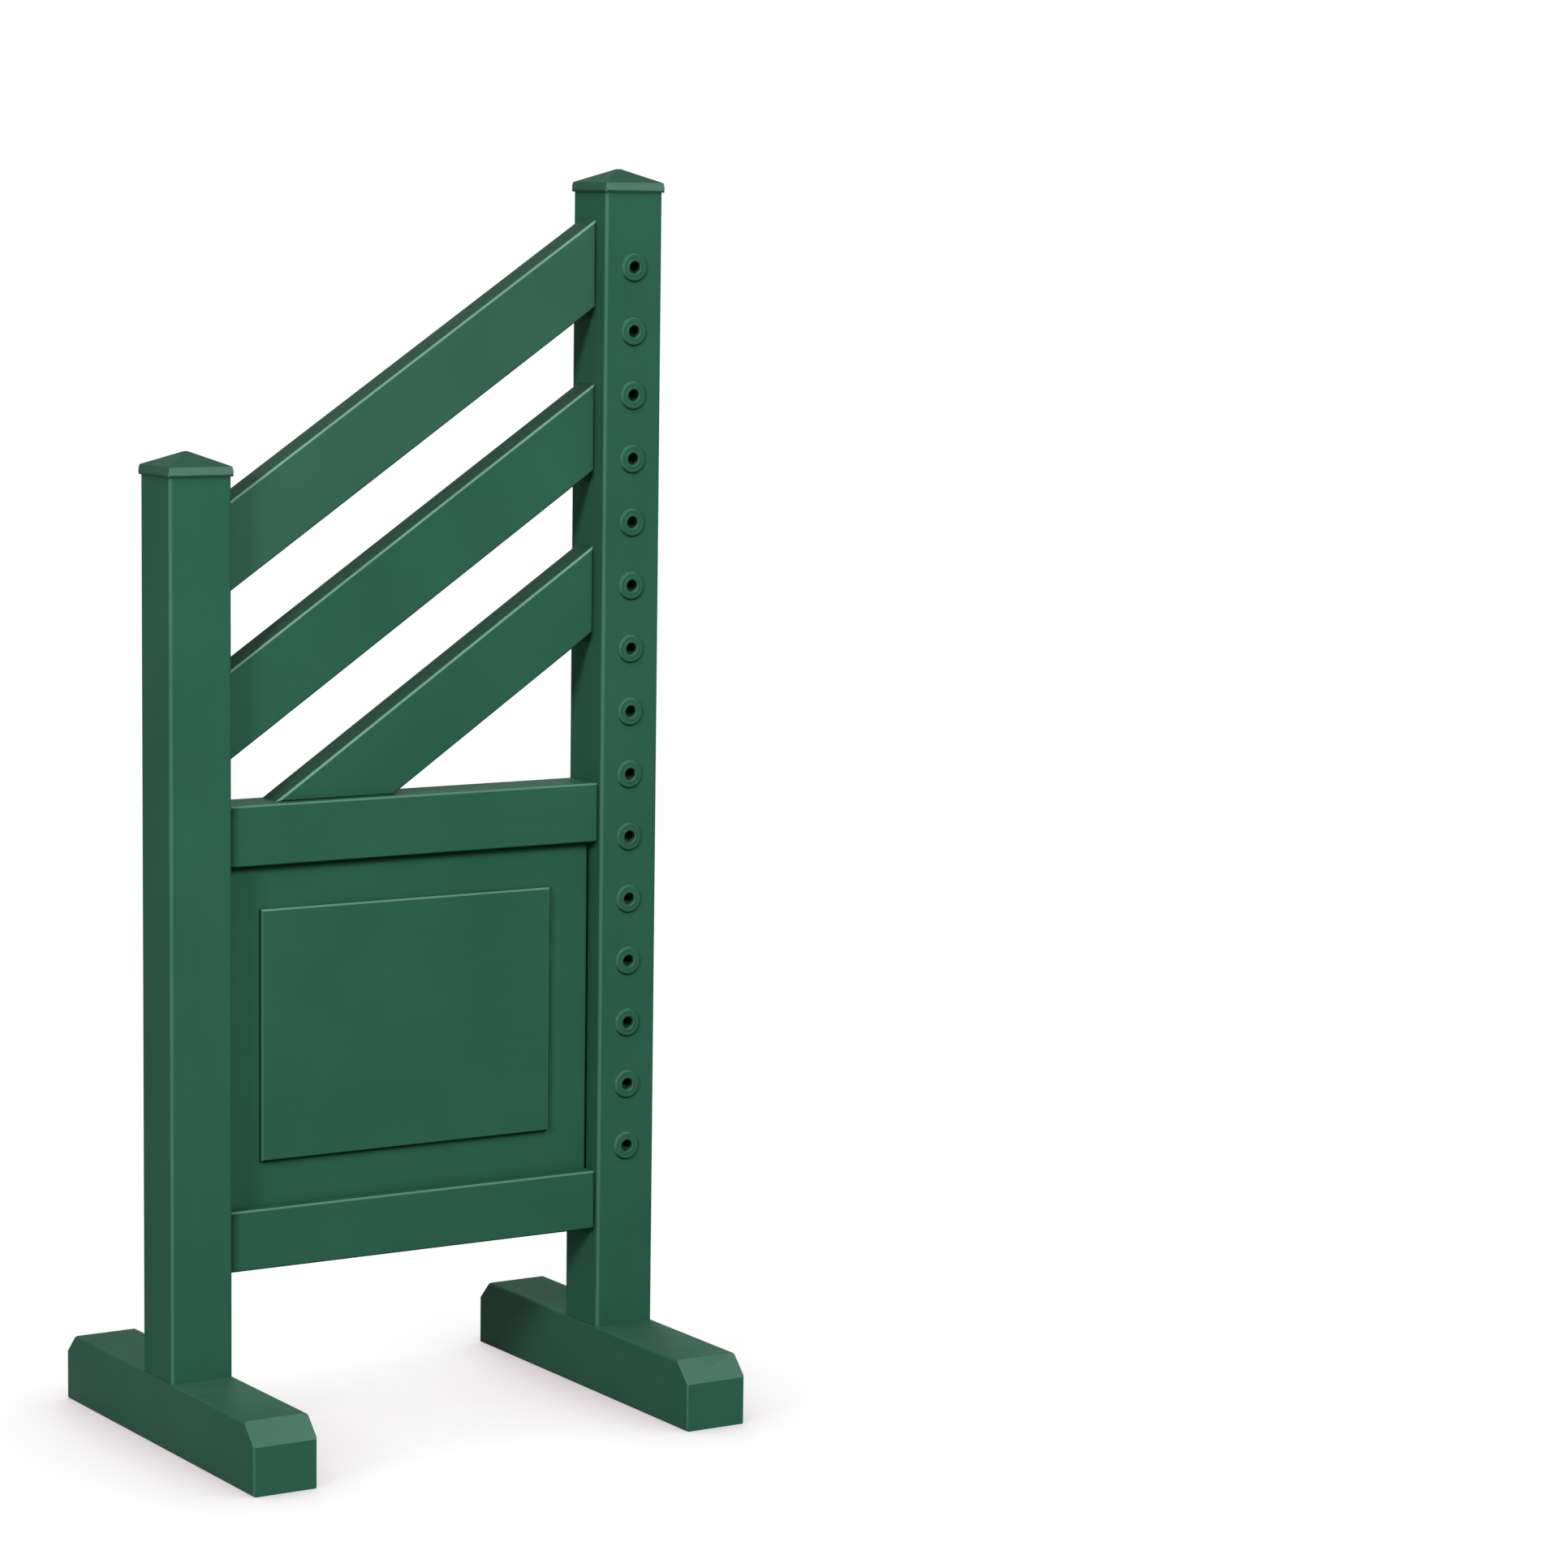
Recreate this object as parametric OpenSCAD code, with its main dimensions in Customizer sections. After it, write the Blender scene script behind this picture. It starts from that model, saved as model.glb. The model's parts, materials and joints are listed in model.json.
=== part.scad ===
// Show jump wing: two square posts on cross feet, joined by two rails with a panel between them
// and by sloping slats above. The tall post carries a column of bushed pin holes for jump cups.
// Frame: X runs from the short post to the tall post, the front faces -Y, Z = 0 is the floor,
// and the origin is midway between the posts.

/* [Posts] */
// Distance between the centre lines of the two posts
post_spacing = 570; // [460:1:760]
// Outside width of the square posts
post_w = 78; // [66:1:96]
// Wall thickness of the posts
post_wall = 4; // [3:0.5:7]
// Radius of the posts' long edges
post_edge_r = 4; // [2:0.5:6]
// Length of short post above the top slat
short_head = 37; // [34:1:90]
// Length of tall post above the top slat
tall_head = 33; // [32:1:90]

/* [Post caps] */
// Overhang of a cap's rim beyond the post
cap_overhang = 2.5; // [1:0.5:6]
// Height of a cap's rim
cap_rim_h = 11.5; // [7:0.5:20]
// Height of the rim's widest line
cap_nose_z = 2.5; // [2:0.5:6.5]
// Inward lean of the rim from its widest line up to the roof's edge
cap_rim_lean = 2; // [0.5:0.5:4]
// Inward taper of the rim from its widest line down to its underside
cap_rim_taper = 1.5; // [0.5:0.5:2.5]
// Height of the pyramid roof above the rim
cap_roof_h = 16; // [8:1:40]
// Width of the small flat at the roof's peak
cap_peak_w = 4; // [1:0.5:8]
// Length of the spigot that plugs the post
cap_spigot_len = 24; // [14:1:27]
// Wall thickness of a cap
cap_wall = 4; // [2.5:0.5:6]

/* [Feet] */
// Length of a foot, front to back
foot_len = 508; // [400:1:700]
// Width of a foot
foot_w = 80; // [66:1:100]
// Height of a foot
foot_h = 82; // [60:1:110]
// Size of the chamfer at a foot's ends
foot_chamfer = 25; // [10:1:45]
// Radius of a foot's long edges
foot_edge_r = 3; // [1:0.5:6]
// Radius of the upright edges at a foot's ends
foot_corner_r = 2.5; // [0.5:0.5:6]

/* [Rails] */
// Clear height between the feet's tops and the lower rail
lower_clear = 121; // [118:1:200]
// Height of a rail
rail_h = 72; // [62:1:90]
// Thickness of a rail, front to back
rail_t = 62; // [52:1:66]
// Wall thickness of a rail
rail_wall = 3.5; // [2.5:0.5:5]
// Radius of a rail's long edges
rail_edge_r = 3; // [1:0.5:5]
// Radius of the edges at a rail's ends
rail_end_r = 2; // [0.5:0.5:2.5]
// Depth of the groove that holds the panel
groove_depth = 15; // [8:1:20]

/* [Panel] */
// Clear height between the rails
panel_open_h = 405; // [300:1:520]
// Thickness of the panel
panel_t = 24; // [16:1:28]
// Gap between the panel's ends and the posts
panel_side_gap = 2.5; // [0.5:0.5:5]
// Radius of the upright edges at the panel's ends
panel_edge_r = 2.5; // [0.5:0.5:4]
// Thickness of the panel's skins and webs
panel_skin = 3; // [2:0.5:4]
// Number of hollow cells in the panel
panel_cells = 6; // [3:1:10]
// Width of the plain border round the raised field
field_margin = 53; // [30:1:90]
// How far the field boards lie to the left of the middle
field_left = 5; // [0:1:10]
// Thickness of a raised field board
field_t = 6; // [3:0.5:9]
// Bevel round a field board's outer face
field_bevel = 2; // [0.5:0.5:2.5]

/* [Slats] */
// Height of a slat, measured upright
slat_v = 104; // [84:1:120]
// Thickness of a slat
slat_t = 40; // [30:1:46]
// How far the slats' middle lies behind the posts' middle
slat_back = 5; // [0:1:8]
// Wall thickness of a slat
slat_wall = 2.5; // [2:0.5:4]
// Radius of a slat's long edges
slat_edge_r = 3; // [1:0.5:5]
// Radius of the edges at a slat's ends
slat_end_r = 2; // [0.5:0.5:2.5]
// Rise of a slat from the short post to the tall post
slat_rise = 331; // [260:1:420]
// Gap between neighbouring slats, measured upright
slat_gap = 91; // [70:1:130]
// Gap between the upper rail and the middle slat's low corner
slat_rail_gap = 45; // [20:1:60]

/* [Pin holes] */
// Distance between neighbouring pin holes
hole_pitch = 76.2; // [60:0.1:110]
// Distance from the tall post's top edge down to the first hole
hole_drop = 89; // [60:1:110]
// Least height of the lowest hole above the lower rail's bottom
hole_least = 90; // [75:1:130]
// Radius of the pin bore
pin_bore_r = 7; // [5:0.1:8]
// Outer radius of a bush's sleeve
sleeve_r = 9.5; // [9.2:0.1:11]
// Outer radius of a bush's flange
flange_r = 17.5; // [14.5:0.5:22]
// Thickness of a flange at its rim
flange_rim_t = 1.5; // [1:0.1:2]
// Thickness of a flange beside the lip
flange_dome_t = 2.6; // [2.2:0.1:3]
// Thickness of a flange at the lip round the bore
flange_t = 3.4; // [3.2:0.1:5]
// Outer radius of the lip round the bore
lip_r = 10.5; // [10:0.1:12]
// Outer radius of the flat beside the lip
dome_r = 13; // [12.5:0.1:14]
// Chamfer at the mouth of the bore
mouth_chamfer = 0.8; // [0.4:0.1:1.5]

/* [Hidden connectors] */
// Length of a plug inside a rail or slat
plug_len = 48; // [36:1:70]
// Reach of a tongue past the wall that it goes through
tongue_reach = 14; // [8:1:16]
// Height of a slat plug's tongue
slat_tongue_h = 50; // [36:1:58]
// Height of a rail plug's tongue
rail_tongue_h = 32; // [24:1:36]
// Length of the plug in a post's bottom
base_plug_len = 105; // [80:1:112]
// Gap round each glued plug, spigot and sleeve
fit = 0.2; // [0.1:0.05:0.4]

/* [Foot fasteners] */
// Distance between the two bolts of a foot
bolt_spacing = 36; // [32:1:40]
// Radius of a bolt's shank
bolt_r = 5; // [4:0.5:6]
// Length of a bolt below its head
bolt_len = 95; // [80:1:120]
// Width of a bolt's head across its flats
bolt_head_af = 17; // [13:0.5:19]
// Height of a bolt's head
bolt_head_h = 6.4; // [5:0.1:8]
// Outer radius of a washer
washer_r = 11; // [10:0.5:13]
// Thickness of a washer
washer_t = 2; // [1.5:0.1:3]
// Depth of the recess for a bolt's head
recess_depth = 16; // [12:1:24]
// Outer radius of a threaded insert
insert_r = 8; // [7:0.5:9]
// Length of a threaded insert
insert_len = 25; // [18:1:32]
// Gap round a bolt's shank in the foot
bolt_gap = 0.4; // [0.2:0.1:1]
// Gap round a washer in its recess
recess_gap = 1; // [0.5:0.1:2]

/* [Hidden] */
$fn = 64;
overrun = 1;
slat_step = 0.1;
tongue_root_share = 0.25;

// Paint colours
wing_green = [0.176, 0.365, 0.294];
shade_green = [0.141, 0.306, 0.243];
inner_grey = [0.55, 0.57, 0.56];
steel_grey = [0.66, 0.68, 0.70];
brass = [0.71, 0.60, 0.33];

// Places along X
tall_x = post_spacing / 2;
short_x = -tall_x;
span = post_spacing - post_w;
face_x = span / 2;

// The stack of heights, from the floor up
lower_rail_z = foot_h + lower_clear;
opening_z = lower_rail_z + rail_h;
upper_rail_z = opening_z + panel_open_h;
rail_top_z = upper_rail_z + rail_h;
slat_angle = atan(slat_rise / span);
slat_w = round(slat_v * cos(slat_angle) / slat_step) * slat_step;
slat_pitch = slat_v + slat_gap;
top_slat_low_z = rail_top_z + slat_rail_gap + slat_v + slat_pitch;
top_slat_high_z = top_slat_low_z + slat_rise;
short_post_top = top_slat_low_z + short_head;
tall_post_top = top_slat_high_z + tall_head;

// Slats, counted down from the top one: height of the middle line at a place x along the span
function slat_mid_z(k, x) =
    top_slat_low_z + slat_rise / 2 - slat_v / 2 - k * slat_pitch + x * slat_rise / span;
slat_blank_len = span / cos(slat_angle) + 2 * slat_w;
slat_space_h = tall_post_top - rail_top_z;
last_slat = 2;
slat_foot_x = (rail_top_z - slat_mid_z(last_slat, 0)) * span / slat_rise;

// Insides of the hollow pieces
post_bore_w = post_w - 2 * post_wall;
slat_bore_w = slat_w - 2 * slat_wall;
slat_bore_t = slat_t - 2 * slat_wall;
groove_w = panel_t + 2 * fit;
rail_cell_h = rail_h - groove_depth - 2 * rail_wall;
rail_cell_t = rail_t - 2 * rail_wall;
rail_side_t = (rail_cell_t - groove_w) / 2 - rail_wall;
rail_cell_mid = rail_h / 2 - rail_wall - rail_cell_h / 2;

// The panel rests on the lower groove's floor, with room to grow at the top
panel_grow = 2;
panel_z = opening_z - groove_depth;
panel_h = panel_open_h + 2 * groove_depth - panel_grow;
panel_w = span - 2 * panel_side_gap;
panel_cell_h = (panel_h - panel_skin) / panel_cells - panel_skin;
field_w = span - 2 * field_margin;
field_h = panel_open_h - 2 * field_margin;
field_z = opening_z + panel_open_h / 2;

// Tongues
slat_tongue_t = slat_bore_t - 2 * fit;
rail_tongue_t = rail_tongue_h;
tongue_root = plug_len * tongue_root_share;

// Pin holes, counted down from the top one
hole_top_z = tall_post_top - hole_drop;
hole_count = floor((hole_top_z - lower_rail_z - hole_least) / hole_pitch) + 1;

// Foot fasteners
bolt_hole_r = bolt_r + bolt_gap;
recess_r = washer_r + recess_gap;
washer_z = recess_depth - washer_t;
bolt_head_z = washer_z - bolt_head_h;
hex_r = bolt_head_af / (2 * cos(30));

// Rectangle with round corners, centred
module round_rect(w, h, r) {
    square([w - 2 * r, h], center = true);
    square([w, h - 2 * r], center = true);
    for (x = [-1, 1], y = [-1, 1])
        translate([x * (w / 2 - r), y * (h / 2 - r)])
            circle(r);
}

// Stands a section up so that its width lies along Y, its height along Z and its length along X
module along_x(len) {
    rotate([90, 0, 90])
        linear_extrude(len, center = true)
            children();
}

// Rounds the four edges at each end of a bar that lies along X, len long, t thick and h high
module eased_ends(len, t, h, r) {
    intersection() {
        children();
        linear_extrude(h, center = true)
            round_rect(len, t, r);
        rotate([90, 0, 0])
            linear_extrude(t, center = true)
                round_rect(len, h, r);
    }
}

// Box with its middle at the given point
module block(size, at) {
    translate(at)
        cube(size, center = true);
}

// Mirrors a piece to both sides of the wing
module both_sides() {
    for (side = [-1, 1])
        on_side(side)
            children();
}

module on_side(side) {
    if (side < 0)
        mirror([1, 0, 0])
            children();
    else
        children();
}

// Moves a piece from the posts' middle plane to the slats'
module set_back() {
    translate([0, slat_back, 0])
        children();
}

// Post tube from the foot's top to the given height
module post_tube(top_z) {
    translate([0, 0, foot_h])
        linear_extrude(top_z - foot_h)
            difference() {
                round_rect(post_w, post_w, post_edge_r);
                square(post_bore_w, center = true);
            }
}

// Slot in the post wall at x = face_x for a tongue
module mortise(t, h, z) {
    block([post_wall + 2 * overrun, t + 2 * fit, h + 2 * fit], [face_x + post_wall / 2, 0, z]);
}

module rail_mortises() {
    for (z = [lower_cell_z(), upper_cell_z()])
        mortise(rail_tongue_t, rail_tongue_h, z);
}

// Height of the middle of each rail's main cell
function upper_cell_z() = upper_rail_z + rail_h / 2 + rail_cell_mid;
function lower_cell_z() = lower_rail_z + rail_h / 2 - rail_cell_mid;

module short_post() {
    color(wing_green)
        difference() {
            translate([short_x, 0, 0])
                post_tube(short_post_top);
            mirror([1, 0, 0]) {
                rail_mortises();
                for (k = [0 : last_slat - 1])
                    set_back()
                        mortise(slat_tongue_t, slat_tongue_h, slat_mid_z(k, -face_x));
            }
        }
}

module tall_post() {
    color(wing_green)
        difference() {
            translate([tall_x, 0, 0])
                post_tube(tall_post_top);
            rail_mortises();
            for (k = [0 : last_slat])
                set_back()
                    mortise(slat_tongue_t, slat_tongue_h, slat_mid_z(k, face_x));
            for (k = [0 : hole_count - 1])
                translate([tall_x, 0, hole_top_z - k * hole_pitch])
                    rotate([90, 0, 0])
                        cylinder(h = post_w + 2 * overrun, r = sleeve_r + fit, center = true);
        }
}

// Cap's side view drawn out along Y: rim that bulges to its widest line, under a pyramid roof
module cap_prism(w) {
    half = w / 2;
    rotate([90, 0, 0])
        linear_extrude(w, center = true)
            polygon([
                [cap_rim_taper - half, 0], [half - cap_rim_taper, 0], [half, cap_nose_z],
                [half - cap_rim_lean, cap_rim_h], [cap_peak_w / 2, cap_rim_h + cap_roof_h],
                [-cap_peak_w / 2, cap_rim_h + cap_roof_h], [cap_rim_lean - half, cap_rim_h],
                [-half, cap_nose_z]
            ]);
}

// Cap with its rim's underside at z = 0
module post_cap() {
    cap_w = post_w + 2 * cap_overhang;
    spigot_w = post_bore_w - 2 * fit;
    difference() {
        union() {
            intersection() {
                cap_prism(cap_w);
                rotate([0, 0, 90])
                    cap_prism(cap_w);
                linear_extrude(cap_rim_h + cap_roof_h)
                    round_rect(cap_w, cap_w, post_edge_r);
            }
            block([spigot_w, spigot_w, cap_spigot_len + cap_rim_h], [0, 0, (cap_rim_h - cap_spigot_len) / 2]);
        }
        block(
            [spigot_w - 2 * cap_wall, spigot_w - 2 * cap_wall, cap_spigot_len + cap_rim_h - cap_wall + overrun],
            [0, 0, (cap_rim_h - cap_wall - cap_spigot_len - overrun) / 2]
        );
    }
}

module short_post_cap() {
    color(wing_green)
        translate([short_x, 0, short_post_top])
            post_cap();
}

module tall_post_cap() {
    color(wing_green)
        translate([tall_x, 0, tall_post_top])
            post_cap();
}

// The two bolt places of one foot
module at_bolts() {
    for (y = [-1, 1])
        translate([0, y * bolt_spacing / 2, 0])
            children();
}

// Solid foot with chamfered ends, bolt holes and recesses for the bolts' heads
module foot() {
    chamfer_y = foot_len / 2 - foot_chamfer;
    chamfer_z = foot_h - foot_chamfer;
    difference() {
        intersection() {
            translate([0, 0, foot_h / 2])
                rotate([90, 0, 0])
                    linear_extrude(foot_len, center = true)
                        round_rect(foot_w, foot_h, foot_edge_r);
            linear_extrude(foot_h)
                round_rect(foot_w, foot_len, foot_corner_r);
            along_x(foot_w)
                polygon([
                    [-foot_len / 2, 0], [foot_len / 2, 0], [foot_len / 2, chamfer_z],
                    [chamfer_y, foot_h], [-chamfer_y, foot_h], [-foot_len / 2, chamfer_z]
                ]);
        }
        at_bolts() {
            translate([0, 0, -overrun])
                cylinder(h = foot_h + 2 * overrun, r = bolt_hole_r);
            translate([0, 0, -overrun])
                cylinder(h = recess_depth + overrun, r = recess_r);
        }
    }
}

module short_post_foot() {
    color(shade_green)
        translate([short_x, 0, 0])
            foot();
}

module tall_post_foot() {
    color(shade_green)
        translate([tall_x, 0, 0])
            foot();
}

// Rail section with the groove for the panel facing down
module rail_section() {
    difference() {
        round_rect(rail_t, rail_h, rail_edge_r);
        translate([0, rail_cell_mid])
            square([rail_cell_t, rail_cell_h], center = true);
        translate([0, (groove_depth - rail_h - overrun) / 2])
            square([groove_w, groove_depth + overrun], center = true);
        for (side = [-1, 1])
            translate([side * (rail_cell_t - rail_side_t) / 2, (groove_depth + rail_wall - rail_h) / 2])
                square([rail_side_t, groove_depth - rail_wall], center = true);
    }
}

// Rail with eased ends, its groove facing down
module rail() {
    eased_ends(span, rail_t, rail_h, rail_end_r)
        along_x(span)
            rail_section();
}

module upper_rail() {
    color(wing_green)
        difference() {
            translate([0, 0, upper_rail_z + rail_h / 2])
                rail();
            block(
                [slat_tongue_h + 2 * fit, slat_tongue_t + 2 * fit, rail_wall + 2 * overrun],
                [slat_foot_x, slat_back, rail_top_z - rail_wall / 2]
            );
        }
}

module lower_rail() {
    color(wing_green)
        translate([0, 0, lower_rail_z + rail_h / 2])
            mirror([0, 0, 1])
                rail();
}

// Hollow board whose cells run from post to post
module infill_panel() {
    color(wing_green)
        translate([0, 0, panel_z + panel_h / 2])
            difference() {
                linear_extrude(panel_h, center = true)
                    round_rect(panel_w, panel_t, panel_edge_r);
                for (k = [0 : panel_cells - 1])
                    block(
                        [panel_w + 2 * overrun, panel_t - 2 * panel_skin, panel_cell_h],
                        [0, 0, (k - (panel_cells - 1) / 2) * (panel_cell_h + panel_skin)]
                    );
            }
}

// Half outline of a bevelled board: w wide, with its back on the axis
function bevelled(w) = [
    [-w / 2, 0], [w / 2, 0], [w / 2, field_t - field_bevel],
    [w / 2 - field_bevel, field_t], [field_bevel - w / 2, field_t], [-w / 2, field_t - field_bevel]
];

// Raised board that faces -Y, with its back at y = 0
module field_board() {
    intersection() {
        linear_extrude(field_h, center = true)
            mirror([0, 1])
                polygon(bevelled(field_w));
        rotate([0, 90, 0])
            rotate([0, 0, 180])
                linear_extrude(field_w, center = true)
                    polygon(bevelled(field_h));
    }
}

module front_field() {
    color(wing_green)
        translate([-field_left, -panel_t / 2, field_z])
            field_board();
}

module back_field() {
    color(wing_green)
        translate([-field_left, panel_t / 2, field_z])
            mirror([0, 1, 0])
                field_board();
}

// Bar along the slope of slat k, with any section
module sloped_bar(k) {
    translate([0, 0, slat_mid_z(k, 0)])
        rotate([0, -slat_angle, 0])
            along_x(slat_blank_len)
                children();
}

// Space that slats fill between the posts and above the upper rail, with eased edges
module slat_space() {
    translate([0, 0, rail_top_z + slat_space_h / 2])
        intersection() {
            linear_extrude(slat_space_h, center = true)
                round_rect(span, slat_t, slat_end_r);
            along_x(span)
                round_rect(slat_t, slat_space_h, slat_end_r);
        }
}

// Hollow slat, cut to the posts' faces and to the upper rail's top
module slat(k) {
    intersection() {
        sloped_bar(k)
            difference() {
                round_rect(slat_t, slat_w, slat_edge_r);
                square([slat_bore_t, slat_bore_w], center = true);
            }
        slat_space();
    }
}

module top_slat() {
    color(wing_green)
        set_back()
            slat(0);
}

module middle_slat() {
    color(wing_green)
        set_back()
            slat(1);
}

module lower_slat() {
    color(wing_green)
        set_back()
            slat(last_slat);
}

// Bush for one side of the post: it faces +Z with its flange's back at z = 0
module pin_bush() {
    rotate_extrude()
        polygon([
            [pin_bore_r, -post_w / 2], [sleeve_r, -post_w / 2], [sleeve_r, 0], [flange_r, 0],
            [flange_r, flange_rim_t], [dome_r, flange_dome_t], [lip_r, flange_dome_t], [lip_r, flange_t],
            [pin_bore_r + mouth_chamfer, flange_t], [pin_bore_r, flange_t - mouth_chamfer]
        ]);
}

// Column of bushes that face -Y
module bush_column() {
    for (k = [0 : hole_count - 1])
        translate([tall_x, -post_w / 2, hole_top_z - k * hole_pitch])
            rotate([90, 0, 0])
                pin_bush();
}

module front_pin_bushes() {
    color(shade_green)
        bush_column();
}

module back_pin_bushes() {
    color(shade_green)
        mirror([0, 1, 0])
            bush_column();
}

// Tongue that reaches through the post wall at x = face_x
module post_tongue(t, h, z) {
    len = tongue_root + post_wall + tongue_reach;
    block([len, t, h], [face_x - tongue_root + len / 2, 0, z]);
}

// Plug in a rail's end at x = face_x
module rail_plug(z) {
    block([plug_len, rail_cell_t - 2 * fit, rail_cell_h - 2 * fit], [face_x - plug_len / 2, 0, z]);
    post_tongue(rail_tongue_t, rail_tongue_h, z);
}

module rail_plugs() {
    color(inner_grey)
        both_sides()
            for (z = [lower_cell_z(), upper_cell_z()])
                rail_plug(z);
}

// Section of a plug that fills a slat
module slat_plug_section() {
    square([slat_bore_t - 2 * fit, slat_bore_w - 2 * fit], center = true);
}

// Plug in slat k's end at the tall post (side 1) or the short post (side -1)
module slat_post_plug(k, side) {
    intersection() {
        sloped_bar(k)
            slat_plug_section();
        block(
            [plug_len, slat_t, 2 * slat_v],
            [side * (face_x - plug_len / 2), 0, slat_mid_z(k, side * face_x)]
        );
    }
    on_side(side)
        post_tongue(slat_tongue_t, slat_tongue_h, slat_mid_z(k, side * face_x));
}

module slat_post_plugs() {
    color(inner_grey)
        set_back() {
            for (k = [0 : last_slat])
                slat_post_plug(k, 1);
            for (k = [0 : last_slat - 1])
                slat_post_plug(k, -1);
        }
}

module slat_rail_plug() {
    len = tongue_root + rail_wall + tongue_reach;
    color(inner_grey)
        set_back() {
            intersection() {
                sloped_bar(last_slat)
                    slat_plug_section();
                block([span, slat_t, plug_len], [0, 0, rail_top_z + plug_len / 2]);
            }
            block([slat_tongue_h, slat_tongue_t, len], [slat_foot_x, 0, rail_top_z + tongue_root - len / 2]);
        }
}

// Block in a post's bottom, bored for the inserts and the bolts' tips
module base_plug() {
    plug_w = post_bore_w - 2 * fit;
    tip_z = washer_z + bolt_len;
    difference() {
        block([plug_w, plug_w, base_plug_len], [0, 0, foot_h + base_plug_len / 2]);
        at_bolts() {
            translate([0, 0, foot_h - overrun])
                cylinder(h = insert_len + overrun, r = insert_r + fit);
            translate([0, 0, foot_h])
                cylinder(h = tip_z - foot_h + overrun, r = bolt_hole_r);
        }
    }
}

module short_post_base_plug() {
    color(inner_grey)
        translate([short_x, 0, 0])
            base_plug();
}

module tall_post_base_plug() {
    color(inner_grey)
        translate([tall_x, 0, 0])
            base_plug();
}

// Repeats a fastener at every bolt of both feet
module at_all_bolts() {
    for (x = [short_x, tall_x])
        translate([x, 0, 0])
            at_bolts()
                children();
}

module foot_bolts() {
    color(steel_grey)
        at_all_bolts()
            translate([0, 0, bolt_head_z]) {
                cylinder(h = bolt_head_h, r = hex_r, $fn = 6);
                cylinder(h = bolt_head_h + bolt_len, r = bolt_r);
            }
}

module foot_washers() {
    color(steel_grey)
        at_all_bolts()
            translate([0, 0, washer_z])
                difference() {
                    cylinder(h = washer_t, r = washer_r);
                    translate([0, 0, -overrun])
                        cylinder(h = washer_t + 2 * overrun, r = bolt_r + fit);
                }
}

module thread_inserts() {
    color(brass)
        at_all_bolts()
            translate([0, 0, foot_h])
                difference() {
                    cylinder(h = insert_len, r = insert_r);
                    translate([0, 0, -overrun])
                        cylinder(h = insert_len + 2 * overrun, r = bolt_r + fit);
                }
}

short_post();
tall_post();
short_post_cap();
tall_post_cap();
short_post_foot();
tall_post_foot();
upper_rail();
lower_rail();
infill_panel();
front_field();
back_field();
top_slat();
middle_slat();
lower_slat();
front_pin_bushes();
back_pin_bushes();
rail_plugs();
slat_post_plugs();
slat_rail_plug();
short_post_base_plug();
tall_post_base_plug();
foot_bolts();
foot_washers();
thread_inserts();
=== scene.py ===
# %% [markdown]
# # A show jump wing in satin green plastic
# The wing is a stand for one side of a show jump. Two square posts stand on cross feet, two rails
# hold a panel with a raised field, sloping slats fill the space above, and the tall post has a
# column of bushed holes for the cups that carry the poles. The solids come ready made and to size,
# so this lesson is about the finish: edges, plastic, light and the camera.

import json
import math

import bmesh
import bpy
from mathutils import Matrix, Vector


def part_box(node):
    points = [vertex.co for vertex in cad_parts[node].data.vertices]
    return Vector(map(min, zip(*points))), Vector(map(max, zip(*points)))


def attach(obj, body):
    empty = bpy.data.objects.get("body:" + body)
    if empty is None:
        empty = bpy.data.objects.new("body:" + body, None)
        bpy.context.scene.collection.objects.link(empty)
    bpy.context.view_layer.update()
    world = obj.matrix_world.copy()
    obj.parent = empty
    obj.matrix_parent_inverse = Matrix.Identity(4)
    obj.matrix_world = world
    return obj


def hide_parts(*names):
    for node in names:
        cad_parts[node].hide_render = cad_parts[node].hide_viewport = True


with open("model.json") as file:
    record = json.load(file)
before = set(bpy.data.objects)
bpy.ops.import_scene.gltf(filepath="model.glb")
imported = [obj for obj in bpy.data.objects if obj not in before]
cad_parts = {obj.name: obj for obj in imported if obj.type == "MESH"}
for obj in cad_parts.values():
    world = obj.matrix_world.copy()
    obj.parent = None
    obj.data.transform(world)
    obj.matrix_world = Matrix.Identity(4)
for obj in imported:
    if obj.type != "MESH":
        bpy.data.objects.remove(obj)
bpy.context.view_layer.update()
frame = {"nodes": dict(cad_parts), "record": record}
nodes = frame["nodes"]


def put(name, data):
    """A new object with this data, linked to the scene."""
    made = bpy.data.objects.new(name, data)
    bpy.context.scene.collection.objects.link(made)
    return made


# %% [markdown]
# ## Sums on sockets
# A shader is a net of nodes, and long nets are hard to read as code. A small class that wraps one
# socket and understands Python's own signs lets the finishes below read like formulas. Every node
# comes from its one method `node`; the other methods are short names for the kinds used most.

# %% A socket that can do sums


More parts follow.
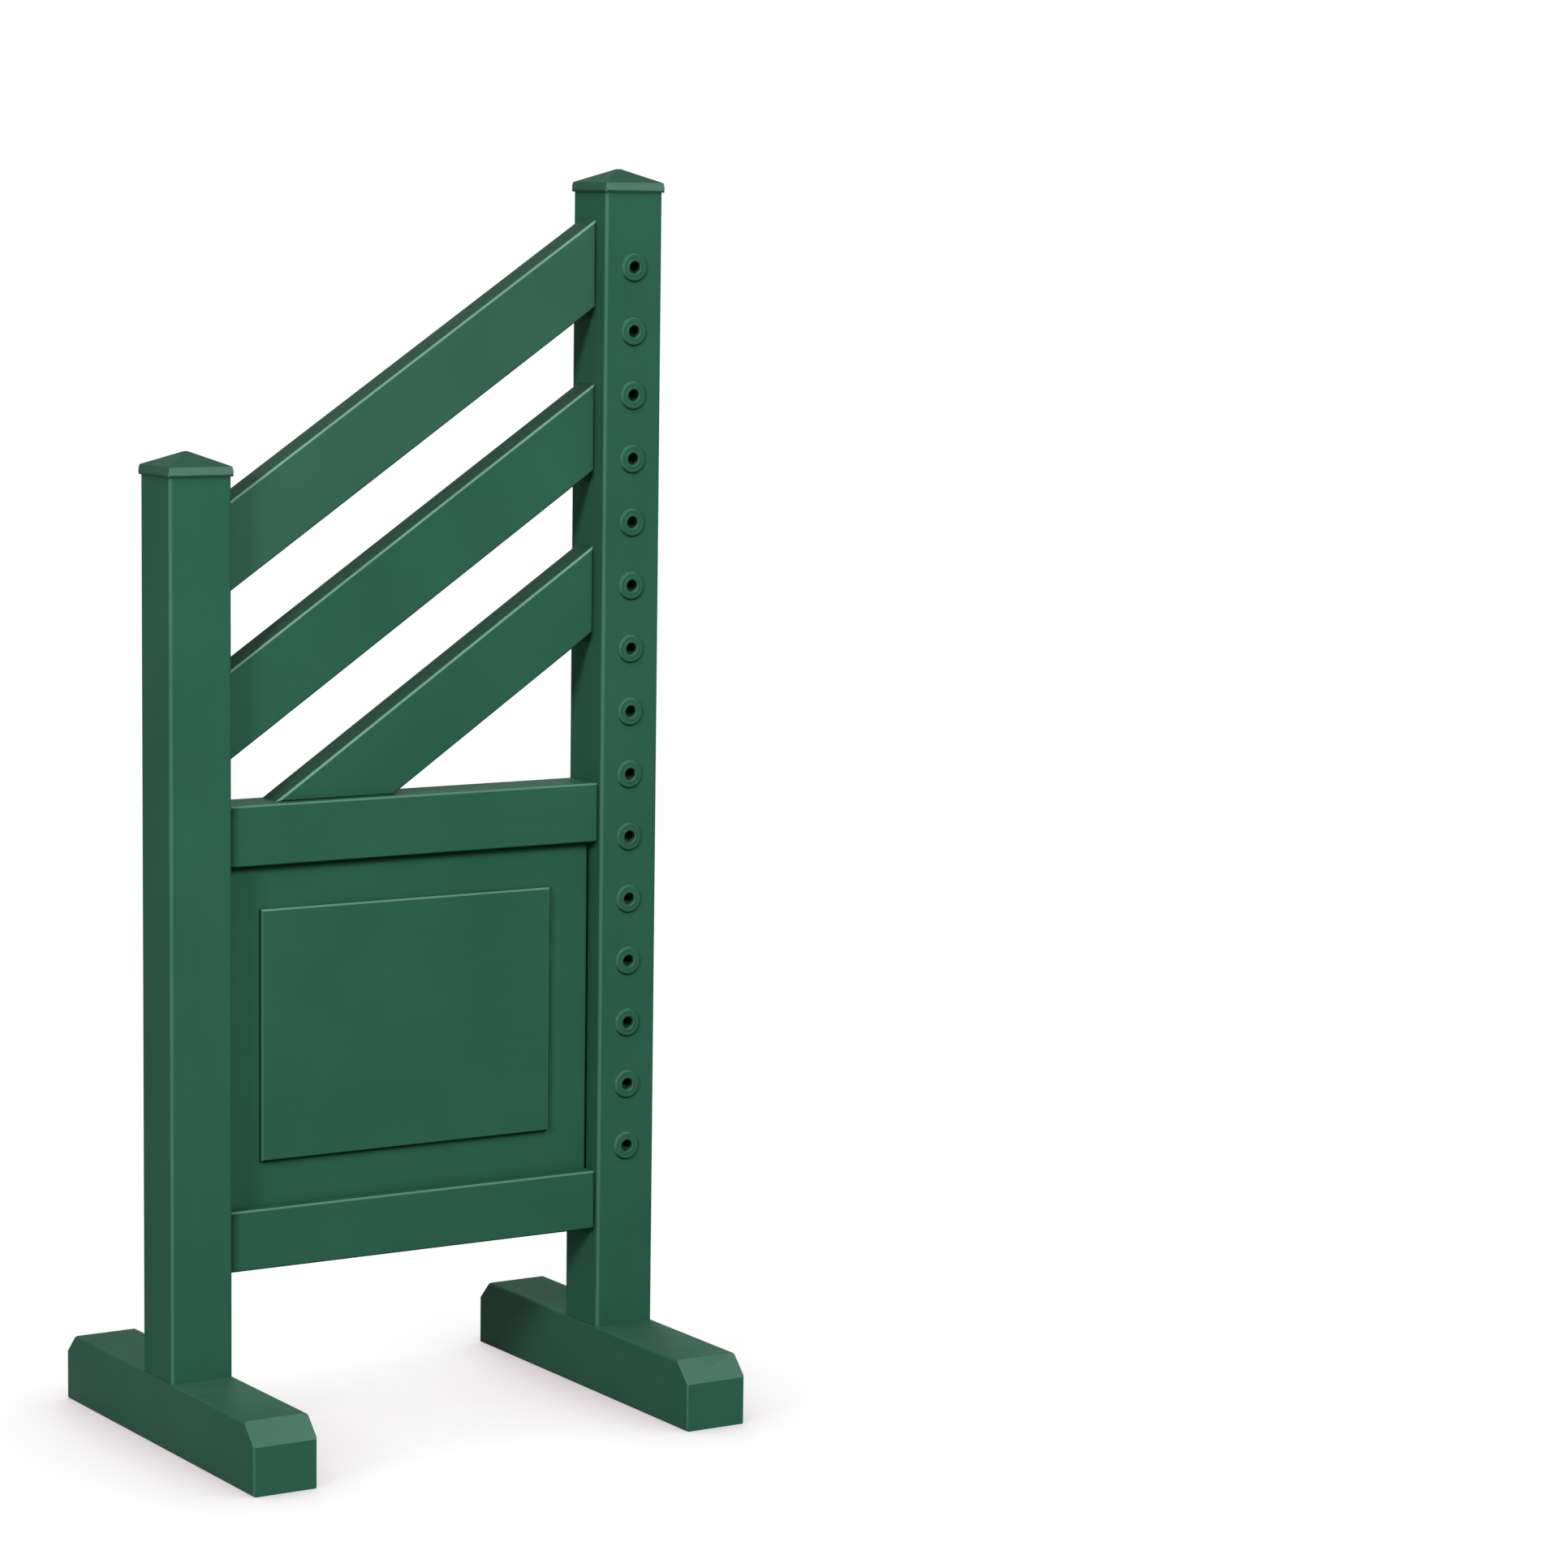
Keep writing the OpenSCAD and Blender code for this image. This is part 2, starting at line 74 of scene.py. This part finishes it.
class Wire:
    """One output of a node. Sums with numbers or with other wires add Math nodes."""

    def __init__(self, tree, socket=None):
        self.tree = tree
        self.socket = socket

    def node(self, kind, inputs=None, settings=None, out=0):
        """Add a node, set it up, then give its sockets values or links."""
        made = self.tree.nodes.new("ShaderNode" + kind)
        for key, value in (settings or {}).items():
            setattr(made, key, value)
        for key, value in (inputs or {}).items():
            if isinstance(value, Wire):
                self.tree.links.new(value.socket, made.inputs[key])
            else:
                made.inputs[key].default_value = value
        return Wire(self.tree, made.outputs[out])

    def feeds(self, socket):
        """Link this wire to a socket that is there already."""
        self.tree.links.new(self.socket, socket)

    def sums(self, operation, first, second):
        return self.node("Math", {0: first, 1: second}, {"operation": operation})

    def __add__(self, other):
        return self.sums("ADD", self, other)

    def __sub__(self, other):
        return self.sums("SUBTRACT", self, other)

    def __mul__(self, other):
        return self.sums("MULTIPLY", self, other)

    def __radd__(self, other):
        return self.sums("ADD", other, self)

    def __rsub__(self, other):
        return self.sums("SUBTRACT", other, self)

    def __rmul__(self, other):
        return self.sums("MULTIPLY", other, self)

    def vector(self, operation, other=None):
        """Vector sums. A dot product or a length is a number, the others are vectors again."""
        out = "Value" if operation in ("DOT_PRODUCT", "LENGTH") else "Vector"
        inputs = {0: self} if other is None else {0: self, 1: other}
        return self.node("VectorMath", inputs, {"operation": operation}, out)

    def noise(self, scale, detail):
        """Soft noise at the place that this wire gives."""
        return self.node("TexNoise", {"Vector": self, "Scale": scale, "Detail": detail})

    def ramp(self, low, high):
        """0 below low, 1 above high and even between them."""
        return self.node("MapRange", {"Value": self, "From Min": low, "From Max": high}, {"clamp": True})

    def blend(self, colour, other):
        """The first colour where this wire is 0, the other one where it is 1."""
        return self.node("Mix", {0: self, 6: colour, 7: other}, {"data_type": "RGBA"}, out=2)


def srgb(red, green, blue):
    """A colour picker's 0 to 255 values as the linear light that shaders count in."""
    linear = [((v / 255 + 0.055) / 1.055) ** 2.4 for v in (red, green, blue)]
    return (*linear, 1.0)


def new_material(name):
    """An empty material, a wire to start its net from, and its surface socket."""
    material = bpy.data.materials.new(name)
    material.use_nodes = True
    tree = material.node_tree
    tree.nodes.clear()
    output = tree.nodes.new("ShaderNodeOutputMaterial")
    return material, Wire(tree), output.inputs["Surface"]


print("wires ready, mid green is", [round(v, 3) for v in srgb(45, 93, 75)])

# %% [markdown]
# ## Satin green plastic
# The wing is rigid plastic, coloured right through. It could be one flat green, but real profiles
# show how they were made: faint lines along the length from the die and slow clouds of tone. On top
# of that the finish paints in light and shade: edges paler partly from handling and partly as painted
# highlight, painted shade in every nook, under things and on some tops, and a pale haze that is
# partly dusty and partly painted light.
#
# The lines come from noise that is stretched along the profile. An edge is wherever the normal has
# turned away from the square: the fourth powers of its three parts add up to 1 on a flat face and
# to 1/2 halfway round a rounded edge, so one minus that sum finds every edge without extra mesh.
# Each finish names the way its paler edges face, since the paleness is partly handling and partly a
# painted highlight on the side that the lamps light.
#
# Painted shade darkens whatever faces down and every nook. To find the nooks, occlusion is felt
# round a normal that is tipped upwards and to the left, where the light comes from, so the shade
# falls where that light is hidden. The body itself hardly mirrors; a thin satin coat on top gives the
# sheen, except on the tops, which weather dull.

# %% The plastic's recipe
DEEP_GREEN = srgb(38, 84, 66)
PALE_GREEN = srgb(43, 90, 71)
# Edges paled partly by handling and partly as a painted highlight
WEAR_AND_HIGHLIGHT_GREEN = srgb(118, 162, 143)
# Painted shade, for nooks and whatever faces down
PAINTED_SHADE_GREEN = srgb(2, 18, 11)
# A pale haze, partly dusty and partly painted light, and a painted pale sheen
DUST_AND_SHEEN_GREY = srgb(120, 134, 126)
# Painted shade on what faces up
TOP_SHADE_GREEN = srgb(38, 58, 48)

# Painted shade in nooks: how far from a corner it reaches in metres, and how its normal is tipped
NOOK = 0.013
NOOK_RAYS = 8
TIP_LEFT = -0.6
TIP_UP = 1.0
# How dark the painted shade is under what faces down, and how much nook shade the tops are spared
UNDER_SHADE = 0.75
TOPS_UNSHADED = 0.8

# The ways that paler edges face; their paleness is partly handling and partly painted highlight
PALE_EDGES = (-0.75, 0.0, 0.66)
PALE_TOPS = (0.3, 0.0, 1.0)
PALE_RIM = (0.4, -1.0, -0.8)
PALE_ENDS = (0.35, -1.0, -0.3)

# Where each effect starts and where it is full
PALE_REACH = (-0.35, 0.45)
FACES_UP = (0.35, 1.0)
FACES_DOWN = (-0.25, -0.7)
NOOK_RANGE = (0.26, 0.50)
PALE_TOP_PATCHES = (0.2, 0.75)
MOTTLE_RANGE = (0.3, 0.7)

# Noise in waves per metre, the share of die lines in it, and the skin's relief in metres
CLOUD_SCALE = 7.0
PEEL_SCALE = 420.0
TONE_LINES = 0.2
RELIEF_LINES = 0.4
PEEL_STRENGTH = 0.06
PEEL_DEPTH = 0.0006

BODY_ROUGHNESS = 0.36
BODY_MIRROR = 0.004
TOPS_DULL = 0.95


def green_plastic(
    name, stretch, slope=0.0, tone=1.0, painted_sheen=0.0, wear_and_highlight=0.3, edge_roundness=(0.02, 0.55), pale_toward=PALE_EDGES,
    corner_shade=1.0, top_shade=0.0, dust_and_top_light=0.04, gloss=0.02, satin=0.2
):
    """Satin plastic with die lines, which run the way that has stretch's fewest waves per metre.

    Shares from 0 to 1: painted_sheen is a painted pale sheen all over, wear_and_highlight the
    paleness of edges, partly from handling and partly painted highlight, corner_shade the painted
    shade in nooks, top_shade the painted shade on tops, dust_and_top_light a pale haze on tops,
    partly dusty and partly painted light, gloss the satin coat. tone darkens the green,
    edge_roundness tells from which to which roundness an edge counts, satin is the coat's roughness.
    """
    material, start, surface = new_material(name)

    # Which way a face looks, and what stands close to it
    facing = start.node("NewGeometry", out="Normal")
    ahead = start.node("SeparateXYZ", {0: facing}, out="Y")
    height = start.node("SeparateXYZ", {0: facing}, out="Z")
    up = height.ramp(*FACES_UP)
    under = height.ramp(*FACES_DOWN)
    pale_facing = facing.vector("DOT_PRODUCT", pale_toward)
    # The nooks for the painted shade are felt round a normal tipped up and to the left
    tip = start.node("CombineXYZ", {"X": ahead * ahead * TIP_LEFT, "Z": TIP_UP})
    tipped = facing.vector("ADD", tip).vector("NORMALIZE")
    feeler = {"Distance": NOOK, "Normal": tipped}
    open_air = start.node("AmbientOcclusion", feeler, {"samples": NOOK_RAYS}, out="AO")

    # A sloping profile is laid level first, so that its own faces count as square
    lie = {"rotation_type": "Y_AXIS"}
    place = start.node("TexCoord", out="Object")
    place = start.node("VectorRotate", {"Vector": place, "Angle": slope}, lie)
    facing = start.node("VectorRotate", {"Vector": facing, "Angle": slope}, lie)
    squares = facing.vector("MULTIPLY", facing)
    flat = squares.vector("DOT_PRODUCT", squares)

    # Die lines, slow clouds and the fine unevenness of the skin
    lines = place.vector("MULTIPLY", stretch).noise(1.0, 2.0)
    cloud = place.noise(CLOUD_SCALE, 3.0)
    peel = place.noise(PEEL_SCALE, 2.0)
    mottle = (cloud * (1 - TONE_LINES) + lines * TONE_LINES).ramp(*MOTTLE_RANGE)
    relief = peel * (1 - RELIEF_LINES) + lines * RELIEF_LINES

    # Painted shade, edges paled partly by handling and partly as painted highlight, and what is laid
    # or painted on tops, all of it a little patchy
    nook = (1 - open_air).ramp(*NOOK_RANGE) * (1 - TOPS_UNSHADED * up) * corner_shade
    painted_shade = (nook + UNDER_SHADE * under).ramp(0.0, 1.0) * (0.75 + 0.3 * cloud)
    edge = (2 - 2 * flat).ramp(*edge_roundness) * pale_facing.ramp(*PALE_REACH) * (0.75 + 0.5 * cloud) * wear_and_highlight
    dust_and_sheen = up * cloud.ramp(*PALE_TOP_PATCHES) * dust_and_top_light + painted_sheen * (0.7 + 0.6 * cloud)
    top_shade_mask = up * (1 - edge) * (0.8 + 0.4 * cloud) * top_shade

    # Colours from the body outwards, then the gloss
    deep, pale = ([*(tone * v for v in green[:3]), 1.0] for green in (DEEP_GREEN, PALE_GREEN))
    colour = edge.blend(mottle.blend(deep, pale), WEAR_AND_HIGHLIGHT_GREEN)
    colour = top_shade_mask.blend(dust_and_sheen.blend(colour, DUST_AND_SHEEN_GREY), TOP_SHADE_GREEN)
    colour = painted_shade.blend(colour, PAINTED_SHADE_GREEN)
    rough = BODY_ROUGHNESS + cloud * 0.10 + dust_and_sheen * 0.5 + painted_shade * 0.2 - edge * 0.1
    sheen = gloss * (0.8 + 0.4 * cloud) * (1 - painted_shade) * (1 - TOPS_DULL * up)
    skin = {"Strength": PEEL_STRENGTH, "Distance": PEEL_DEPTH, "Height": relief}
    bump = start.node("Bump", skin)
    plastic = start.node(
        "BsdfPrincipled",
        {"Base Color": colour, "Roughness": rough, "Normal": bump, "Specular IOR Level": BODY_MIRROR,
         "Coat Weight": sheen, "Coat Roughness": satin},
    )
    plastic.feeds(surface)
    return material


# How far from a corner the painted shade reaches
print("recipe ready, grime within", 1000 * NOOK, "mm of a corner")

# %% [markdown]
# ## One recipe, nine finishes
# Die lines follow the long way of a profile, so posts, rails and feet need a finish each. The slats
# also need their slope: the top slat's box tells it, once the slat's own upright height is taken off.
# Caps and bushes are moulded, so their noise is the same every way.

# %% A finish for every kind of piece
ALONG_X = (2.5, 330, 330)
ALONG_Y = (330, 2.5, 330)
ALONG_Z = (330, 330, 2.5)
MOULDED = (60, 60, 60)
SLAT_UPRIGHT = 0.104
low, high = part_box("top_slat")
SLAT_SLOPE = math.atan2(high.z - low.z - SLAT_UPRIGHT, high.x - low.x)
# Edges below pale partly from handling and partly as painted highlight
post_plastic = green_plastic("post_plastic", ALONG_Z, wear_and_highlight=0.17, edge_roundness=(0.01, 0.3), corner_shade=0.5)
rail_plastic = green_plastic("rail_plastic", ALONG_X, wear_and_highlight=0.4, corner_shade=0.8)
field_plastic = green_plastic("field_plastic", ALONG_X, wear_and_highlight=0.5, pale_toward=PALE_TOPS)
# Slats get painted shade on their tops
slat_plastic = green_plastic(
    "slat_plastic", ALONG_X, slope=SLAT_SLOPE, wear_and_highlight=0.7, corner_shade=0.5, top_shade=0.7, dust_and_top_light=0.0
)
# The top slat's own copy has a painted pale sheen all over, as if it caught more light
top_slat_sheen_plastic = green_plastic(
    "top_slat_sheen_plastic", ALONG_X, slope=SLAT_SLOPE, painted_sheen=0.045, wear_and_highlight=0.7, corner_shade=0.5, top_shade=0.7, dust_and_top_light=0.0
)
# The feet's tops get a thicker pale haze, partly dusty and partly painted light
foot_plastic = green_plastic(
    "foot_plastic", ALONG_Y, wear_and_highlight=0.13, pale_toward=PALE_ENDS, dust_and_top_light=0.16, gloss=0.075
)
# The feet's bevelled edges get a paler copy: partly handling, partly painted highlight
foot_edge_plastic = green_plastic(
    "foot_edge_plastic", ALONG_Y, wear_and_highlight=0.4, edge_roundness=(0.0, 0.3), pale_toward=PALE_ENDS, gloss=0.06
)
# Caps get a faint painted sheen, and painted shade on their roofs
cap_plastic = green_plastic(
    "cap_plastic", MOULDED, tone=0.86, painted_sheen=0.015, wear_and_highlight=0.13, edge_roundness=(0.03, 0.17), pale_toward=PALE_RIM,
    top_shade=0.15, gloss=0.09, satin=0.12
)
# The bushes' rims pale as painted highlight as well as from handling
bush_plastic = green_plastic("bush_plastic", MOULDED, wear_and_highlight=0.13, edge_roundness=(0.3, 0.95), gloss=0.06)
print("slats slope", round(math.degrees(SLAT_SLOPE), 2), "degrees")

# %% [markdown]
# ## What stays inside
# Plugs, bolts, washers and inserts hold the wing together but hardly show. They still get finishes
# of their own: dull grey recycled plastic, zinc plate with its cloudy spangle and turned brass.

# %% Plug plastic, zinc and brass
GRAIN_STRENGTH = 0.15
GRAIN_DEPTH = 0.0004


def plain_finish(name, dark, light, scale, rough, metallic=0.0):
    """Two tones in a noise pattern, with a little bump."""
    material, start, surface = new_material(name)
    cloud = start.node("TexCoord", out="Object").noise(scale, 4.0)
    tone = cloud.ramp(*MOTTLE_RANGE)
    bump = start.node("Bump", {"Strength": GRAIN_STRENGTH, "Distance": GRAIN_DEPTH, "Height": cloud})
    finish = start.node(
        "BsdfPrincipled",
        {"Base Color": tone.blend(dark, light), "Roughness": rough + tone * 0.12, "Normal": bump,
         "Metallic": metallic},
    )
    finish.feeds(surface)
    return material


plug_plastic = plain_finish(
    "plug_grey", srgb(136, 141, 138), srgb(152, 156, 152), scale=90.0, rough=0.6
)
zinc = plain_finish(
    "zinc_plate", srgb(170, 173, 176), srgb(196, 199, 202), scale=160.0, rough=0.3, metallic=1.0
)
brass = plain_finish(
    "turned_brass", srgb(176, 146, 78), srgb(200, 170, 98), scale=220.0, rough=0.28, metallic=1.0
)
print("inner finishes:", plug_plastic.name, zinc.name, brass.name)

# %% [markdown]
# ## Dressing the solids
# Each solid keeps its place and its mesh and only swaps its material for the right finish.

# %% Finishes on the solids
FINISHES = {
    post_plastic: ["short_post", "tall_post"],
    rail_plastic: ["upper_rail", "lower_rail", "infill_panel"],
    field_plastic: ["front_field", "back_field"],
    slat_plastic: ["middle_slat", "lower_slat"],
    top_slat_sheen_plastic: ["top_slat"],
    foot_plastic: ["short_post_foot", "tall_post_foot"],
    cap_plastic: ["short_post_cap", "tall_post_cap"],
    plug_plastic: [
        "rail_plugs", "slat_post_plugs", "slat_rail_plug", "short_post_base_plug", "tall_post_base_plug",
    ],
    zinc: ["foot_bolts", "foot_washers"],
    brass: ["thread_inserts"],
}
for finish, names in FINISHES.items():
    for name in names:
        mesh = nodes[name].data
        mesh.materials.clear()
        mesh.materials.append(finish)
print("dressed", sum(len(names) for names in FINISHES.values()), "nodes")

# %% [markdown]
# ## Softened edges
# Where a moulded edge is drawn sharp, a weld and a narrow bevel soften it the way a mould or a
# router does. The bevel can hand its new faces a second material, which gives the feet their paler
# edges: partly from handling, partly a painted highlight.

# %% Weld and bevel
CAP_EDGE = 0.0008
FOOT_EDGE = 0.0022
FIELD_EDGE = 0.0006
SOFT_EDGES = {
    "short_post_cap": CAP_EDGE,
    "tall_post_cap": CAP_EDGE,
    "short_post_foot": FOOT_EDGE,
    "tall_post_foot": FOOT_EDGE,
    "front_field": FIELD_EDGE,
    "back_field": FIELD_EDGE,
}
WELD_REACH = 0.00001
EDGE_STEPS = 3
EDGE_ANGLE = math.radians(15)
for name, width in SOFT_EDGES.items():
    weld = nodes[name].modifiers.new("weld", "WELD")
    weld.merge_threshold = WELD_REACH
    soft = nodes[name].modifiers.new("soft_edges", "BEVEL")
    soft.width = width
    soft.segments = EDGE_STEPS
    soft.limit_method = "ANGLE"
    soft.angle_limit = EDGE_ANGLE
    soft.harden_normals = True
    if name.endswith("foot"):
        nodes[name].data.materials.append(foot_edge_plastic)
        soft.material = 1
print("softened", len(SOFT_EDGES), "nodes")

# %% [markdown]
# ## Pin bushes
# Each hole in the tall post is lined by two moulded bushes, one pushed in from each side. On the
# post's face a shallow dish spreads round a rounded lip. The solids draw this with straight cones,
# so the render gets a lathe-turned copy with a smooth outline. It starts as a section: points of
# radius and depth, where depth counts outwards from the post's face.

# %% The bush's section
MM = 0.001
POST_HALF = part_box("tall_post")[1].y
BORE_R, LIP_R, SLEEVE_R, DISH_R, RIM_R, FLANGE_R = (MM * v for v in (7.0, 8.8, 9.5, 11.6, 14.3, 17.5))
LIP_FOOT, LIP_T, DISH_T, RIM_T = (MM * v for v in (1.3, 3.05, 2.4, 2.7))
CURVE_STEPS = 5


def bush_outline():
    """Points of the section as radius and depth: lip, dish and rim run into each other in curves."""
    points = [(BORE_R, -POST_HALF), (BORE_R, LIP_FOOT)]
    shares = [step / CURVE_STEPS for step in range(1, CURVE_STEPS + 1)]
    for share in shares:
        turn = share * math.pi / 2
        rise = (LIP_T - LIP_FOOT) * math.sin(turn)
        points.append((LIP_R - (LIP_R - BORE_R) * math.cos(turn), LIP_FOOT + rise))
    lip, dish, rim = (LIP_R, LIP_T), (DISH_R, DISH_T), (RIM_R, RIM_T)
    for (near_r, near_t), (far_r, far_t) in ((lip, dish), (dish, rim)):
        for share in shares:
            ease = (1 - math.cos(math.pi * share)) / 2
            points.append((near_r + (far_r - near_r) * share, near_t + (far_t - near_t) * ease))
    for share in shares:
        points.append((RIM_R + (FLANGE_R - RIM_R) * share, RIM_T * (1 - share * share)))
    return points + [(SLEEVE_R, 0.0), (SLEEVE_R, -POST_HALF)]


print("section of", len(bush_outline()), "points")

# %% [markdown]
# ## Turning the bushes
# A lathe is a loop: the section is set down at every step of a full turn, and neighbours are joined
# by faces. The record lists every hole, so the copies sit at the very same places as the solids.

# %% Turned bushes
TURNS = 56
SMOOTH_BELOW = math.radians(40)


def add_bush(mesh, outline, centre, out):
    """Turn the outline about the hole's axis; out is -1 for the front and 1 for the back."""
    rings = []
    for step in range(TURNS):
        angle = 2 * math.pi * step / TURNS
        ring = []
        for radius, depth in outline:
            across = centre.x + radius * math.cos(angle)
            height = centre.z + radius * math.sin(angle)
            ring.append(mesh.verts.new((across, out * (POST_HALF + depth), height)))
        rings.append(ring)
    for step in range(TURNS):
        here, there = rings[step], rings[(step + 1) % TURNS]
        for k in range(len(outline)):
            after = (k + 1) % len(outline)
            mesh.faces.new((here[k], here[after], there[after], there[k]))


holes = [Vector(m["pos_m"]) for m in frame["record"]["mounts"] if m["kind"] == "bore"]
for name, out in (("front_pin_bushes", -1), ("back_pin_bushes", 1)):
    turned = bmesh.new()
    for centre in holes:
        add_bush(turned, bush_outline(), centre, out)
    bmesh.ops.recalc_face_normals(turned, faces=turned.faces)
    mesh = bpy.data.meshes.new("turned_" + name)
    turned.to_mesh(mesh)
    turned.free()
    mesh.shade_smooth()
    mesh.set_sharp_from_angle(angle=SMOOTH_BELOW)
    mesh.materials.append(bush_plastic)
    bushes = put("turned_" + name, mesh)
    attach(bushes, "root")
    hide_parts(name)
print("turned", 2 * len(holes), "bushes")

# %% [markdown]
# ## Floor
# The photograph stands on pure white, with only a breath of shadow round the feet. The floor glows
# an even white of its own; a breath of warm grey is mixed in wherever the wing hides the sky, and a
# thin matt share catches the lamps' own shadows. For the light that it throws back on the wing the
# floor counts as grey, or the shaded sides would come out too pale.

# %% White floor
WHITE = (1.0, 1.0, 1.0, 1.0)
SHADE = srgb(208, 196, 200)
SHADE_REACH = 0.30
SHADE_RAYS = 16
HIDDEN_RANGE = (0.05, 0.6)
BOUNCE = (0.34, 0.34, 0.34, 1.0)
MATT_SHARE = 0.10
MATT_REACH = (0.35, 1.1)
FLOOR_HALF = 14.0


def seen_directly(start):
    """1 for rays from the camera, a mirror or glass; 0 for the light that falls on things."""
    camera = start.node("LightPath", out="Is Camera Ray")
    glossy = start.node("LightPath", out="Is Glossy Ray")
    through = start.node("LightPath", out="Is Transmission Ray")
    return (camera + glossy + through).ramp(0.0, 1.0)


floor_white, start, surface = new_material("floor_white")
open_sky = start.node("AmbientOcclusion", {"Distance": SHADE_REACH}, {"samples": SHADE_RAYS}, out="AO")
shaded = (1 - open_sky).ramp(*HIDDEN_RANGE).blend(WHITE, SHADE)
glow = start.node("Emission", {"Color": shaded, "Strength": 1.0})
matt = start.node("BsdfDiffuse", {"Color": seen_directly(start).blend(BOUNCE, WHITE)})
away = start.node("TexCoord", out="Object").vector("LENGTH")
white = 1 - MATT_SHARE * (1 - away.ramp(*MATT_REACH))
cover = start.node("MixShader", {0: seen_directly(start) * white, 1: matt, 2: glow})
cover.feeds(surface)

plane = bmesh.new()
bmesh.ops.create_grid(plane, x_segments=1, y_segments=1, size=FLOOR_HALF)
mesh = bpy.data.meshes.new("floor")
plane.to_mesh(mesh)
plane.free()
mesh.materials.append(floor_white)
floor = put("floor", mesh)
print("floor", [round(v, 1) for v in floor.dimensions])

# %% [markdown]
# ## Backdrop
# The world is pure white where the camera or a mirror sees it. As a lamp it is only a dim fill, so
# that shaded sides stay dark.

# %% Studio world
AMBIENT = 0.15
world = bpy.data.worlds.new("studio")
bpy.context.scene.world = world
world.use_nodes = True
world.node_tree.nodes.clear()
start = Wire(world.node_tree)
strength = AMBIENT + seen_directly(start) * (1 - AMBIENT)
backdrop = start.node("Background", {"Color": WHITE, "Strength": strength})
output = world.node_tree.nodes.new("ShaderNodeOutputWorld")
backdrop.feeds(output.inputs["Surface"])
print("ambient", AMBIENT)

# %% [markdown]
# ## Lamps
# A large softbox straight in front gives most of the light. A smaller one far to the left lets the
# short post throw a band of shadow over the slats and the panel, one overhead lights whatever faces
# up, and one behind keeps the back from going dark. The sparks light nothing: they only show as
# highlights on the faces that mirror them to the camera, two on the right for the rims of the caps
# and one overhead for the chamfers of the feet.

# %% Softboxes
# Each lamp: its place, what it points at, the side of its square in metres and its watts
LAMPS = {
    "key": ((0.1, -4.4, 2.6), (0.0, 0.0, 0.75), 1.5, 159.0),
    "left_box": ((-4.05, -2.05, 2.2), (0.0, 0.0, 0.75), 0.8, 132.0),
    "sky": ((-0.4, -0.3, 4.3), (0.0, 0.0, 0.0), 2.2, 46.0),
    "back_box": ((1.6, 4.3, 2.4), (0.0, 0.0, 0.75), 1.5, 175.0),
    "top_spark": ((1.9, -1.2, 3.5), (0.0, 0.0, 0.1), 1.0, 38.0),
    "short_rim_spark": ((1.53, -3.57, 2.51), (-0.3, 0.0, 1.15), 0.6, 9.0),
    "tall_rim_spark": ((2.44, -3.31, 3.0), (0.3, 0.0, 1.45), 0.6, 9.0),
}
for name, (where, target, size, watts) in LAMPS.items():
    lamp = bpy.data.lights.new(name, "AREA")
    lamp.shape = "SQUARE"
    lamp.size = size
    lamp.energy = watts
    box = put(name, lamp)
    box.visible_diffuse = not name.endswith("spark")
    box.visible_glossy = name != "back_box"
    box.location = where
    box.rotation_euler = (Vector(target) - Vector(where)).to_track_quat("-Z", "Y").to_euler()
print("lamps:", {name: watts for name, (*_, watts) in LAMPS.items()})

# %% [markdown]
# ## Camera
# The camera stands to the left of the wing, a little above its middle, and far enough away for a
# long lens. Its place and turn were fitted to corners of the wing in the photograph, so the frame
# is the photograph's own, with no shift.

# %% Camera at the photograph's place
PLACE = (-2.6224, -4.9206, 1.4712)
SENSOR_MM = 36.0
LENS_MM = 108.57
AZIMUTH = math.radians(-32.667)
ELEVATION = math.radians(7.218)
ROLL = math.radians(0.7825)
back = Vector((
    math.sin(AZIMUTH) * math.cos(ELEVATION),
    -math.cos(AZIMUTH) * math.cos(ELEVATION),
    math.sin(ELEVATION),
))
right = Vector((math.cos(AZIMUTH), math.sin(AZIMUTH), 0.0))
up = back.cross(right)
tilted_right = math.cos(ROLL) * right + math.sin(ROLL) * up
tilted_up = -math.sin(ROLL) * right + math.cos(ROLL) * up

lens = bpy.data.cameras.new("photo_camera")
lens.sensor_width = SENSOR_MM
lens.lens = LENS_MM
camera = put("photo_camera", lens)
turn = Matrix((tilted_right, tilted_up, back)).transposed().to_4x4()
camera.matrix_world = Matrix.Translation(PLACE) @ turn
bpy.context.scene.camera = camera
bpy.context.scene.view_settings.view_transform = "Standard"
print("camera at", [round(v, 3) for v in camera.location], "lens", lens.lens)
